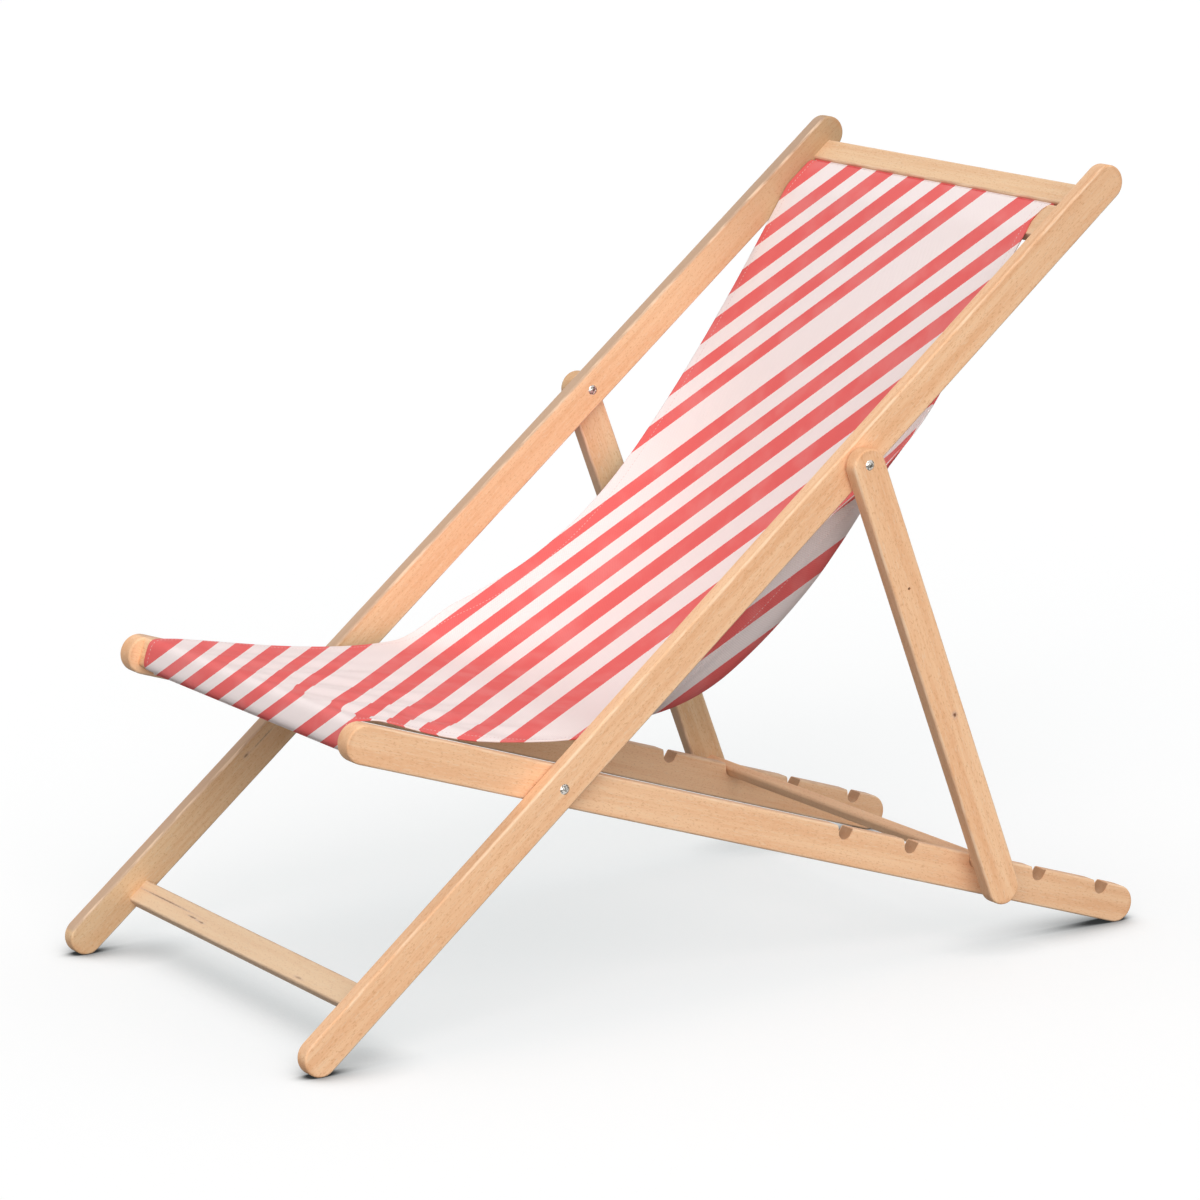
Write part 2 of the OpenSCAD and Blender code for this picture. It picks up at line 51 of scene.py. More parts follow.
# Sizes repeated from the part's source, in millimetres and degrees
PIVOTS = {j["name"]: j["pos_m"] for j in frame["joints"]}
SEAT_PIVOT = np.array(PIVOTS["back_raise"][1:]) / MM
PROP_PIVOT = np.array(PIVOTS["prop_swing"][1:]) / MM
BACK_TURN = math.degrees(math.atan2(*(PROP_PIVOT - SEAT_PIVOT)[::-1]))
SEAT_TURN = -17.8786
PROP_TURN = -69.0204
FRONT_BAR = (-231.65, 3.75)
FRONT_BAR_SIZE = (15.0, 32.5)
FRONT_BAR_ROUND = 6.0
FRONT_ROD = (-215.75, -2.95)
SLOT_LOW = 852.8
SLAT_FACE = -5.45
WIDE_SLAT_LOW = 807.8
SLAT_ROUND = 2.5
TOP_ROD = (861.2, -27.85)
ROD_RADIUS = 6.0


def linear(code):
    """Linear red, green and blue of an sRGB hex colour."""
    parts = [int(code[i:i + 2], 16) / 255 for i in (0, 2, 4)]
    return tuple(c / 12.92 if c <= 0.04045 else ((c + 0.055) / 1.055) ** 2.4 for c in parts)


class BeechSettings(bpy.types.PropertyGroup):
    """Colours of the oiled beech."""
    light: FloatVectorProperty(name="Light wood", description="Colour of the palest growth",
                               subtype="COLOR", min=0, max=1, default=linear("FDCFA4"))
    dark: FloatVectorProperty(name="Dark wood", description="Colour of the darkest growth",
                              subtype="COLOR", min=0, max=1, default=linear("EEB283"))
    fleck: FloatVectorProperty(name="Ray flecks", description="Colour of the short ray flecks",
                               subtype="COLOR", min=0, max=1, default=linear("D08E5C"))
    # Painted shade: the grey laid on the narrow faces stands for the shade on them
    narrow: FloatVectorProperty(name="Weathered faces", description="Colour of the greyed narrow faces",
                                subtype="COLOR", min=0, max=1, default=linear("BFA08A"))
    # Partly painted highlight: besides wear, this pale colour on the long edges stands for the light that
    # the rounded edges catch
    worn_and_lit: FloatVectorProperty(name="Worn edges", description="Colour of the rubbed long edges",
                              subtype="COLOR", min=0, max=1, default=linear("F9D9B8"))
    # Painted shade: this dark colour on the notch walls stands for the shade in the notches
    cut: FloatVectorProperty(name="Cut walls", description="Colour of the dirty end grain in the notches",
                             subtype="COLOR", min=0, max=1, default=linear("8F6A4E"))
    knot: FloatVectorProperty(name="Knots", description="Colour of pin knots and sap marks",
                              subtype="COLOR", min=0, max=1, default=linear("7C553D"))
    halo: FloatVectorProperty(name="Stains", description="Colour of the stain round a sap mark",
                              subtype="COLOR", min=0, max=1, default=linear("B295A0"))


class CanvasSettings(bpy.types.PropertyGroup):
    """Sizes and colours of the canvas sling and its thread."""
    red: FloatVectorProperty(name="Red", description="Colour of the dyed stripes",
                             subtype="COLOR", min=0, max=1, default=linear("EE6F6D"))
    white: FloatVectorProperty(name="White", description="Colour of the undyed cloth",
                               subtype="COLOR", min=0, max=1, default=linear("FAEDEB"))
    thickness: FloatProperty(name="Thickness", description="Thickness of the canvas",
                             subtype="DISTANCE", unit="LENGTH", min=0.0005, max=0.003, default=0.0012)
    spacing: FloatProperty(name="Mesh spacing", description="Distance between rows of vertices",
                           subtype="DISTANCE", unit="LENGTH", min=0.003, max=0.02, default=0.0042)
    ripple: FloatProperty(name="Ripple", description="Height of the soft folds behind the front bar",
                          subtype="DISTANCE", unit="LENGTH", min=0, max=0.01, default=0.003)
    pitch: FloatProperty(name="Stitch pitch", description="Distance between stitches in a seam",
                         subtype="DISTANCE", unit="LENGTH", min=0.002, max=0.01, default=0.0045)
    stitch: FloatProperty(name="Stitch length", description="Length of the thread that shows in a stitch",
                          subtype="DISTANCE", unit="LENGTH", min=0.001, max=0.009, default=0.0028)
    thread: FloatProperty(name="Thread radius", description="Radius of the sewing thread",
                          subtype="DISTANCE", unit="LENGTH", min=0.0001, max=0.001, default=0.00026)


class StageSettings(bpy.types.PropertyGroup):
    """Light and camera of the studio."""
    key: FloatProperty(name="Overhead light", description="Strength of the overhead light",
                       min=0, max=10, default=0.2)
    side: FloatProperty(name="Side light", description="Strength of the light from the sitter's left",
                        min=0, max=10, default=2.0)
    fill: FloatProperty(name="Fill", description="Strength of the light from the whole room",
                        min=0, max=3, default=0.64)
    lens: FloatProperty(name="Lens", description="Focal length of the camera, in millimetres",
                        subtype="DISTANCE_CAMERA", unit="CAMERA", min=20, max=300, default=150.28)


class DeckChairSettings(bpy.types.PropertyGroup):
    """All the settings of the deck chair."""
    beech: PointerProperty(type=BeechSettings)
    canvas: PointerProperty(type=CanvasSettings)
    stage: PointerProperty(type=StageSettings)


def add(tree, kind, sockets=None, **settings):
    """Adds a node with its settings. An input takes a value, a socket, or a node's first output in use."""
    made = tree.nodes.new(kind)
    for key, value in settings.items():
        setattr(made, key, value)
    for key, value in (sockets or {}).items():
        if isinstance(value, bpy.types.Node):
            value = next(out for out in value.outputs if out.enabled)
        if isinstance(value, bpy.types.NodeSocket):
            tree.links.new(value, made.inputs[key])
        else:
            made.inputs[key].default_value = value
    return made


def new_material(name):
    """An empty node material and its tree."""
    made = bpy.data.materials.new(name)
    made.use_nodes = True
    made.node_tree.nodes.clear()
    return made, made.node_tree


def heading(angle):
    """Unit vector [y, z] at an angle in degrees."""
    return np.array([math.cos(math.radians(angle)), math.sin(math.radians(angle))])


def on_frame(turn, a, c):
    """Point [y, z] in millimetres, a along a rail from the seat pivot and c square to it."""
    return SEAT_PIVOT + a * heading(turn) + c * heading(turn + 90)


# Half sizes of the rails: across, along and square to their narrow faces
BACK_RAIL, SEAT_RAIL, PROP_LEG = (9.1, 650, 19.45), (10.75, 522, 20.55), (8.9, 275.8, 19.7)
RAIL_MIDDLE, LEG_MIDDLE, PROP_BAR_AT = (259.3, 269.8), 259.0, 491.5


def wood_pieces():
    """Every wooden node: its middle [x, y, z], the turn of its grain about X, whether it lies along X,
    its half sizes, and the marks in it, each as (across, along, square, half width, half length,
    strength)."""
    def rail(x, turn, a, half, marks=()):
        return [x, *on_frame(turn, a, 0)], turn, False, half, marks

    def bar(turn, a, c, half, marks=(), x=0):
        return [x, *on_frame(turn, a, c)], turn, True, half, marks

    back_middle, seat_middle = RAIL_MIDDLE
    leg = PROP_PIVOT + LEG_MIDDLE * heading(PROP_TURN)
    foot = PROP_PIVOT + PROP_BAR_AT * heading(PROP_TURN)
    return {
        "back_rail_left": rail(258.1, BACK_TURN, back_middle, BACK_RAIL),
        "back_rail_right": rail(-258.1, BACK_TURN, back_middle, BACK_RAIL,
                                [(9.1, -339, 8, 0.7, 14, 0.5), (9.1, -366, 9, 1.4, 3, 0.6)]),
        "foot_crossbar": bar(BACK_TURN, -295.2, -12.45, (14.5, 249, 7),
                             [(-3, -189, 7, 0.8, 46, 0.7), (1, -122, 7, 0.8, 9, 0.7),
                              (2, -102, 7, 0.8, 7, 0.7), (9, 120, 7, 1.2, 8, 0.4)]),
        "top_crossbar_upper": bar(BACK_TURN, 871.3, -12.45, (14.5, 249, 7)),
        "top_crossbar_lower": bar(BACK_TURN, 830.3, -12.45, (22.5, 249, 7)),
        "top_hem_rod": bar(BACK_TURN, *TOP_ROD, (6, 228.4, 6), x=-20.4),
        "seat_rail_left": rail(235.45, SEAT_TURN, seat_middle, SEAT_RAIL, [(4, -402, 20.5, 2, 5, 0.5)]),
        "seat_rail_right": rail(-235.45, SEAT_TURN, seat_middle, SEAT_RAIL),
        "front_crossbar": bar(SEAT_TURN, *FRONT_BAR, (7.5, 224.7, 16.25)),
        "front_hem_rod": bar(SEAT_TURN, *FRONT_ROD, (6, 233.7, 6)),
        "prop_leg_left": ([278.9, *leg], PROP_TURN, False, PROP_LEG, [(8.9, 44, 6, 2.2, 2.8, 1.0)]),
        "prop_leg_right": ([-278.9, *leg], PROP_TURN, False, PROP_LEG, ()),
        "prop_bar": ([0, *foot], PROP_TURN, True, (6.7, 270, 6.7), ()),
    }


# How each piece is coloured: share of painted shade on its narrow faces, bleaching and tint of the whole,
# and darkening of its upper end
WOOD_AGE = {"back_rail_left": (0.12, 0, "FFFFFF", 0.3), "back_rail_right": (0.75, 0, "EDF6F6", 1.0),
            "foot_crossbar": (0.4, 0.4, "F4FCFF", 0), "top_crossbar_upper": (0.3, 0.1, "F0F6F8", 0),
            "top_crossbar_lower": (0.3, 0.1, "F0F6F8", 0), "top_hem_rod": (0, 0, "FFFFFF", 0),
            "seat_rail_left": (0.2, 0.1, "FFFFFF", 0.3), "seat_rail_right": (0.6, 0.1, "FFFFFF", 0.3),
            "front_crossbar": (0.3, 0, "FFFFFF", 0), "front_hem_rod": (0, 0, "FFFFFF", 0),
            "prop_leg_left": (0.3, 0, "FFFFFF", 0), "prop_leg_right": (0.6, 0, "E6F2F4", 0),
            "prop_bar": (0, 0.2, "FFFFFF", 0)}

# Patterns in the wood: millimetres across and along the grain, detail, and the levels that each spans
WOOD_PATTERNS = {"growth": (13, 380, 4, 0.34, 0.66), "lines": (1.5, 70, 3, 0.48, 0.72),
                 "mottle": (3.2, 9, 3, 0.36, 0.64), "flecks": (1.3, 3.6, 1, 0.56, 0.72),
                 "pale": (1.3, 12, 2, 0.55, 0.70), "rubbed_and_lit": (5, 45, 3, 0.42, 0.62)}
# How far each piece's patterns are moved from the last one's, so that no two look alike
SEED_STEP = (17.3, 5.1, 9.7)
# Millimetres in from the faces where the painted shade of the narrow faces starts and is full, and where the
# pale edge line of wear and painted highlight starts and is full
NARROW_SHADE_FROM, NARROW_SHADE_FULL = 2.6, 0.6
RUBBED_AND_LIT_FROM, RUBBED_AND_LIT_FULL = 3.4, 1.6
# A point that lies deeper than this, across the thickness and across the width, is on a notch's wall
WALL_THICK, WALL_WIDE = 1.2, 1.0


def beech(name, seed, age, place, turn, crosswise, half, marks):
    """Planed and oiled beech: pale, even, with fine straight grain and short ray flecks."""
    s = bpy.context.scene.deck_chair.beech
    grey, bleached, cast, shade = age
    material, tree = new_material(name)
    turned = Matrix.Rotation(math.radians(turn), 3, "X")
    if crosswise:
        turned = turned @ Matrix.Rotation(math.radians(-90), 3, "Z")
    coords = add(tree, "ShaderNodeTexCoord").outputs["Object"]
    # Millimetres from the middle of the piece: X across, Y along the grain, Z square to the wide face
    local = add(tree, "ShaderNodeMapping", {"Vector": coords, "Location": [v * MM for v in place],
                "Rotation": turned.to_euler(), "Scale": (MM, MM, MM)}, vector_type="TEXTURE")
    patterns = {}
    for key, (width, length, detail, low, high) in WOOD_PATTERNS.items():
        drawn = add(tree, "ShaderNodeMapping", {"Vector": local,
                    "Location": (seed * SEED_STEP[0] + width, seed * SEED_STEP[1], seed * SEED_STEP[2]),
                    "Scale": (1 / width, 1 / length, 1 / width)})
        noise = add(tree, "ShaderNodeTexNoise", {"Vector": drawn, "Scale": 1.0, "Detail": detail,
                    "Roughness": 0.6})
        patterns[key] = add(tree, "ShaderNodeMapRange", {"Value": noise, "From Min": low, "From Max": high},
                            interpolation_type="SMOOTHSTEP")
    colour = [*s.light, 1]
    for key, share, tint in (("growth", 0.8, s.dark), ("lines", 0.45, s.dark), ("mottle", 0.3, s.light),
                             ("flecks", 0.42, s.fleck), ("pale", 0.4, s.worn_and_lit)):
        amount = add(tree, "ShaderNodeMath", {0: patterns[key], 1: share}, operation="MULTIPLY")
        colour = add(tree, "ShaderNodeMix", {0: amount, 6: colour, 7: [*tint, 1]}, data_type="RGBA")

    axes = add(tree, "ShaderNodeSeparateXYZ", {0: local}).outputs
    colour = add(tree, "ShaderNodeMix", {0: bleached, 6: colour, 7: [*s.worn_and_lit, 1]}, data_type="RGBA")
    colour = add(tree, "ShaderNodeMix", {0: 1.0, 6: colour, 7: [*linear(cast), 1]}, data_type="RGBA",
                 blend_type="MULTIPLY")
    if shade:
        upper = add(tree, "ShaderNodeMapRange", {"Value": axes[1], "From Min": half[1] * 0.5,
                    "From Max": half[1] * 0.95, "To Max": shade}, interpolation_type="SMOOTHSTEP")
        colour = add(tree, "ShaderNodeMix", {0: upper, 6: colour, 7: [*linear("D4CFCB"), 1]},
                     data_type="RGBA", blend_type="MULTIPLY")
    # The narrow faces get painted shade, and the long edges between the faces are made pale, partly for wear
    # and partly as a painted highlight
    across, along, square = (add(tree, "ShaderNodeMath", {0: axis}, operation="ABSOLUTE") for axis in axes)
    upright = half[0] < half[2]
    to_wide, wide_half = (square, half[2]) if upright else (across, half[0])
    to_thick, thick_half = (across, half[0]) if upright else (square, half[2])
    # Painted shade: the narrow faces are greyed, most on the far pieces
    if grey:
        narrow_face_shade = add(tree, "ShaderNodeMapRange", {"Value": to_wide, "From Min": wide_half - NARROW_SHADE_FROM,
                          "From Max": wide_half - NARROW_SHADE_FULL, "To Max": grey},
                          interpolation_type="SMOOTHSTEP")
        colour = add(tree, "ShaderNodeMix", {0: narrow_face_shade, 6: colour, 7: [*s.narrow, 1]}, data_type="RGBA")
    if half[0] != half[2]:
        # Painted highlight and wear: a pale line along the long edges, broken up by noise
        near = [add(tree, "ShaderNodeMapRange", {"Value": reach, "From Min": side - RUBBED_AND_LIT_FROM,
                    "From Max": side - RUBBED_AND_LIT_FULL}, interpolation_type="SMOOTHSTEP")
                for reach, side in ((to_wide, wide_half), (to_thick, thick_half))]
        edge = add(tree, "ShaderNodeMath", {0: near[0], 1: near[1]}, operation="MULTIPLY")
        worn_and_lit = add(tree, "ShaderNodeMath", {0: edge, 1: patterns["rubbed_and_lit"]}, operation="MULTIPLY")
        faint = add(tree, "ShaderNodeMath", {0: worn_and_lit, 1: 0.6}, operation="MULTIPLY")
        colour = add(tree, "ShaderNodeMix", {0: faint, 6: colour, 7: [*s.worn_and_lit, 1]}, data_type="RGBA")
        # The walls of the notches lie across the grain; their dark colour is painted shade in the notches
        shaded_wall = 0.6
        for reach, limit in ((to_thick, thick_half - WALL_THICK), (to_wide, wide_half - WALL_WIDE),
                             (along, half[1] - wide_half - WALL_WIDE)):
            within = add(tree, "ShaderNodeMath", {0: reach, 1: limit}, operation="LESS_THAN")
            shaded_wall = add(tree, "ShaderNodeMath", {0: shaded_wall, 1: within}, operation="MULTIPLY")
        colour = add(tree, "ShaderNodeMix", {0: shaded_wall, 6: colour, 7: [*s.cut, 1]}, data_type="RGBA")
    if not crosswise:
        # End grain takes more oil and is darker
        end = add(tree, "ShaderNodeMapRange", {"Value": along, "From Min": half[1] - wide_half * 0.42,
                  "From Max": half[1] - 1, "To Max": 0.3}, interpolation_type="SMOOTHSTEP")
        colour = add(tree, "ShaderNodeMix", {0: end, 6: colour, 7: [*s.fleck, 1]}, data_type="RGBA")
    blot = add(tree, "ShaderNodeTexNoise", {"Vector": local, "Scale": 0.3, "Detail": 3.0})
    for x, y, z, half_width, half_length, strength in marks:
        away = add(tree, "ShaderNodeMapping", {"Vector": local, "Location": (x, y, z),
                   "Scale": (half_width, half_length, half_width)}, vector_type="TEXTURE")
        distance = add(tree, "ShaderNodeVectorMath", {0: away}, operation="LENGTH").outputs["Value"]
        ragged = add(tree, "ShaderNodeMath", {0: blot, 1: 1.6, 2: distance}, operation="MULTIPLY_ADD")
        for reach, tint, share in ((3.2, s.halo, 0.3 * strength), (2.1, s.knot, strength)):
            amount = add(tree, "ShaderNodeMapRange", {"Value": ragged, "From Min": reach,
                         "From Max": reach / 2, "To Max": share}, interpolation_type="SMOOTHSTEP")
            colour = add(tree, "ShaderNodeMix", {0: amount, 6: colour, 7: [*tint, 1]}, data_type="RGBA")

    height = add(tree, "ShaderNodeMath", {0: patterns["lines"], 1: patterns["mottle"]}, operation="ADD")
    bump = add(tree, "ShaderNodeBump", {"Strength": 0.12, "Distance": 0.0003, "Height": height})
    rough = add(tree, "ShaderNodeMapRange", {"Value": patterns["mottle"], "To Min": 0.55, "To Max": 0.66})
    shader = add(tree, "ShaderNodeBsdfPrincipled", {"Base Color": colour, "Roughness": rough,
                 "Normal": bump, "IOR": 1.5, "Specular IOR Level": 0.2})
    add(tree, "ShaderNodeOutputMaterial", {"Surface": shader})
    return material


def nickel():
    """Nickel-plated steel, turned and polished: bright, faintly warm, with fine handling marks, and dark
    patches that are painted reflections of the surroundings.
    """
    material, tree = new_material("Nickel plated steel, turned")
    coords = add(tree, "ShaderNodeTexCoord").outputs["Object"]
    handling_and_reflection = add(tree, "ShaderNodeTexNoise", {"Vector": coords, "Scale": 520.0, "Detail": 2.0})
    dulled_and_reflection = add(tree, "ShaderNodeMapRange", {"Value": handling_and_reflection, "From Min": 0.42, "From Max": 0.6},
                 interpolation_type="SMOOTHSTEP")
    # Painted reflection: the dark patches stand for the surroundings mirrored in the metal
    tone = add(tree, "ShaderNodeMix", {0: dulled_and_reflection, 6: [*linear("DAD7D1"), 1], 7: [*linear("6E675E"), 1]},
               data_type="RGBA")
    rough = add(tree, "ShaderNodeMapRange", {"Value": dulled_and_reflection, "To Min": 0.24, "To Max": 0.38})
    bump = add(tree, "ShaderNodeBump", {"Strength": 0.12, "Distance": 0.0001, "Height": handling_and_reflection})
    shader = add(tree, "ShaderNodeBsdfPrincipled", {"Base Color": tone, "Metallic": 1.0,
                 "Roughness": rough, "Normal": bump})
    add(tree, "ShaderNodeOutputMaterial", {"Surface": shader})
    return material


# Red bands across the cloth, in millimetres across the stripes: the end of the first, at the far corner,
# and the sides of the others
FIRST_BAND = -229.3
BANDS = [(-217.4, -206.0), (-194.4, -181.7), (-169.2, -156.1), (-143.9, -131.9),
         (-118.8, -106.1), (-82.8, -69.9), (-55.9, -43.1), (-29.4, -14.7), (-0.3, 14.7),
         (29.1, 43.2), (58.3, 73.1), (100.2, 115.3), (132.2, 152.0), (178.5, 192.5), (205.0, 219.0)]
BAND_LIMITS = (-250.0, 235.0)
# The bands lie in planes that fan out from one line through the camera's place, so that they look
# straight from there
FAN_POINT = Vector((4.4443, -2.8417, 1.5281))
FAN_EULER = (math.radians(77.70), 0, math.radians(57.52))
FAN_SLOPE = 0.737
FAN_REACH = 5330.0
# Least distance across the stripes for each millimetre across the cloth, on its upper face
LEAST_CLIMB = 0.35


def band_place(points):
    """Distance across the stripes, in millimetres, of points in metres."""
    turn = np.array(Matrix.Rotation(FAN_EULER[2], 3, "Z") @ Matrix.Rotation(FAN_EULER[0], 3, "X"))
    seen = (points - np.array(FAN_POINT)) @ turn
    across = (FAN_SLOPE * seen[:, 0] - seen[:, 1]) / math.hypot(1, FAN_SLOPE)
    return across / -seen[:, 2] * FAN_REACH


def canvas():
    """Plain woven cotton canvas, dyed in stripes: matt, close, slightly fibrous."""
    s = bpy.context.scene.deck_chair.canvas
    material, tree = new_material("Cotton canvas, woven stripes")
    sheet = add(tree, "ShaderNodeAttribute", attribute_name="sheet_mm").outputs["Vector"]
    band = add(tree, "ShaderNodeAttribute", attribute_name="band_mm").outputs["Fac"]
    fibre = add(tree, "ShaderNodeTexNoise", {"Vector": sheet, "Scale": 0.9, "Detail": 4.0, "Roughness": 0.7})
    wander = add(tree, "ShaderNodeMapRange", {"Value": fibre, "From Min": 0.2, "From Max": 0.8,
                 "To Min": -0.35, "To Max": 0.35})
    ragged = add(tree, "ShaderNodeMath", {0: band, 1: wander}, operation="ADD")
    low, high = BAND_LIMITS
    share = add(tree, "ShaderNodeMapRange", {"Value": ragged, "From Min": low, "From Max": high})
    stripes = add(tree, "ShaderNodeValToRGB", {0: share})
    stripes.color_ramp.interpolation = "CONSTANT"
    elements = stripes.color_ramp.elements
    elements[0].position, elements[0].color = 0, (1, 1, 1, 1)
    elements[1].position, elements[1].color = (FIRST_BAND - low) / (high - low), (0, 0, 0, 1)
    for start, end in BANDS:
        elements.new((start - low) / (high - low)).color = (1, 1, 1, 1)
        elements.new((end - low) / (high - low)).color = (0, 0, 0, 1)
    # Yarns are 0.6 mm apart in the real cloth; drawn at 1.3 mm so that the weave shows
    yarn = 1.3
    crossing = add(tree, "ShaderNodeVectorMath", {0: sheet, 1: [math.pi / yarn] * 3}, operation="MULTIPLY")
    waves = add(tree, "ShaderNodeVectorMath", {0: crossing}, operation="SINE")
    axes = add(tree, "ShaderNodeSeparateXYZ", {0: waves}).outputs
    weave = add(tree, "ShaderNodeMath", {0: axes[0], 1: axes[1]}, operation="MULTIPLY")
    colour = add(tree, "ShaderNodeMix", {0: stripes, 6: [*s.white, 1], 7: [*s.red, 1]}, data_type="RGBA")
    hollow = add(tree, "ShaderNodeMapRange", {"Value": weave, "From Min": -1, "To Min": 0, "To Max": 0.10})
    colour = add(tree, "ShaderNodeMix", {0: hollow, 6: colour, 7: [*linear("B98F8C"), 1]}, data_type="RGBA",
                 blend_type="MULTIPLY")
    faded = add(tree, "ShaderNodeTexNoise", {"Vector": sheet, "Scale": 0.02, "Detail": 3.0})
    fade = add(tree, "ShaderNodeMapRange", {"Value": faded, "From Min": 0.4, "From Max": 0.7,
               "To Max": 0.08}, interpolation_type="SMOOTHSTEP")
    colour = add(tree, "ShaderNodeMix", {0: fade, 6: colour, 7: [*s.white, 1]}, data_type="RGBA")
    height = add(tree, "ShaderNodeMath", {0: weave, 1: fibre}, operation="ADD")
    bump = add(tree, "ShaderNodeBump", {"Strength": 0.25, "Distance": 0.0004, "Height": height})
    shader = add(tree, "ShaderNodeBsdfPrincipled", {"Base Color": colour, "Roughness": 0.95, "Normal": bump,
                 "Specular IOR Level": 0.08})
    add(tree, "ShaderNodeOutputMaterial", {"Surface": shader})
    return material


def thread():
    """Mercerised cotton sewing thread, two-ply: soft white with a twist that shows as slant lines."""
    material, tree = new_material("Cotton thread, mercerised")
    coords = add(tree, "ShaderNodeTexCoord").outputs["Object"]
    # The real twist repeats each 0.5 mm; drawn at 1 mm
    twist = add(tree, "ShaderNodeTexWave", {"Vector": coords, "Scale": 160.0, "Distortion": 1.0},
                bands_direction="DIAGONAL")
    tone = add(tree, "ShaderNodeMix", {0: twist, 6: [*linear("F0D3CF"), 1], 7: [*linear("D9B4B0"), 1]},
               data_type="RGBA")
    bump = add(tree, "ShaderNodeBump", {"Strength": 0.3, "Distance": 0.0001, "Height": twist})
    shader = add(tree, "ShaderNodeBsdfPrincipled", {"Base Color": tone, "Roughness": 0.7, "Normal": bump,
                 "Sheen Weight": 0.2})
    add(tree, "ShaderNodeOutputMaterial", {"Surface": shader})
    return material


def arc(centre, radius, start, end, steps=14):
    """Points on an arc, from one angle to another in degrees."""
    return [centre + radius * heading(a) for a in np.linspace(start, end, steps)]


def ease(x):
    """Smooth step from 0 to 1."""
    x = np.clip(x, 0, 1)
    return x * x * (3 - 2 * x)


def swell(t, starts, full, fades, gone):
    """Share that a form of the cloth has grown to, along the hang."""
    return ease((t - starts) / (full - starts)) * (1 - ease((t - fades) / (gone - fades)))


# Hanging stretch of the cloth, as the part's source has it, apart from the left edge's swell and tuck
OFF = 1.3
FRONT_DIP, FRONT_PULL = 12.8, 336.0
BACK_LEAN, BACK_PULL = 56.4, 673.0
RIGHT_FRONT, RIGHT_TOP, RIGHT_FULL = -210.0, -247.5, 0.8
LEFT_FRONT, LEFT_TOP, LEFT_SLOT, LEFT_TURN = 223.5, 201.0, 198.0, 0.78
SKEW = 12.6
BAG, BAG_SWELL = 48.0, (0.31, 0.58, 0.7, 0.97)
RIGHT_CURL, RIGHT_SWELL = 21.0, (0.36, 0.49, 0.5, 0.8)
LEFT_CURL = 44.0
CURL_WIDTH = 48.0
# The left edge stands up over a slightly longer stretch than in the source, so that the rail hides it
LEFT_SWELL = (0.37, 0.57, 0.71, 0.89)
# How far the left edge is drawn in over the wide slat's face
LEFT_TUCK = 5.0
# Side hems: millimetres from the edge to the seam and to the fold's end, and its extra thickness
HEM_SEAM, HEM_END, HEM_EXTRA = 8.0, 10.5, 0.6
# Clearance between the two plies of a pocket's seam, and between a rod and its pocket
PLY_GAP, ROD_PLAY = 0.25, 0.35
# Where the pockets' second plies lie: behind the front bar's middle, and above the top rod's middle
FRONT_LAP, TOP_LAP = (6, 7.5), (9.6, 14, 19)
# Columns of vertices between the two hems
MIDDLE_COLUMNS = 78
# Soft folds behind the front bar: where they start, are full, fade and are gone, as shares of the hang
FOLD_SWELL = (0, 0.03, 0.12, 0.37)
# Each fold's waves across the cloth and along the hang, where its wave starts, and its share
FOLDS = ((5.3, 2.4, 0, 1), (8.9, -4, 0.3, 0.6))
# Share of their height that the folds have at the right edge
FOLD_LEAST = 0.35


def sling_path(thickness):
    """The cloth's middle line from hem to hem: points [y, z], how far along the hang each is, and
    how far up the wide slat's face."""
    gap = thickness + PLY_GAP
    t_front, t_back = SEAT_TURN, BACK_TURN
    a, c = FRONT_BAR
    half_t, half_h = FRONT_BAR_SIZE[0] / 2 - FRONT_BAR_ROUND, FRONT_BAR_SIZE[1] / 2 - FRONT_BAR_ROUND
    r = FRONT_BAR_ROUND + OFF
    hem = ROD_RADIUS + ROD_PLAY + thickness / 2
    rear_low = on_frame(t_front, a + half_t, c - half_h)
    front_low = on_frame(t_front, a - half_t, c - half_h)
    front_high = on_frame(t_front, a - half_t, c + half_h)
    rod = on_frame(t_front, *FRONT_ROD)
    # Pocket round the front rod: the second ply starts behind the bar's lower edge
    path = [on_frame(t_front, a + behind, c - FRONT_BAR_SIZE[1] / 2 - OFF - gap) for behind in FRONT_LAP]
    path += arc(rod, hem, t_front - 80, t_front + 180, 26)
    path += arc(rear_low, r, t_front, t_front - 90)
    path += arc(front_low, r, t_front - 90, t_front - 180)
    path += arc(front_high, r, t_front - 180, -270 - FRONT_DIP)
    before = len(path)
    low_edge = on_frame(t_back, WIDE_SLAT_LOW + SLAT_ROUND, SLAT_FACE - SLAT_ROUND)
    start = front_high + r * heading(90 - FRONT_DIP)
    end = low_edge + (SLAT_ROUND + OFF) * heading(90 + BACK_LEAN)
    pull_a = start + FRONT_PULL * heading(-FRONT_DIP)
    pull_b = end - BACK_PULL * heading(BACK_LEAN)
    ts = np.linspace(0, 1, 400)[1:-1]
    path += [(1 - t) ** 3 * start + 3 * t * (1 - t) ** 2 * pull_a + 3 * t * t * (1 - t) * pull_b
             + t ** 3 * end for t in ts]
    path += arc(low_edge, SLAT_ROUND + OFF, 90 + BACK_LEAN, 90 + t_back, 5)
    face_start = len(path)
    path += arc(on_frame(t_back, SLOT_LOW - SLAT_ROUND, SLAT_FACE - SLAT_ROUND), SLAT_ROUND + OFF,
                90 + t_back, t_back, 8)
    top_rod = on_frame(t_back, *TOP_ROD)
    path += arc(top_rod, hem, t_back + 180, t_back + 430, 26)
    path += [top_rod + (gap - hem) * heading(t_back) + lift * heading(t_back + 90) for lift in TOP_LAP]
    hang = np.concatenate([np.zeros(before), ts, np.ones(len(path) - before - len(ts))])
    face = np.concatenate([np.zeros(face_start), np.ones(len(path) - face_start)])
    return np.array(path), hang, face


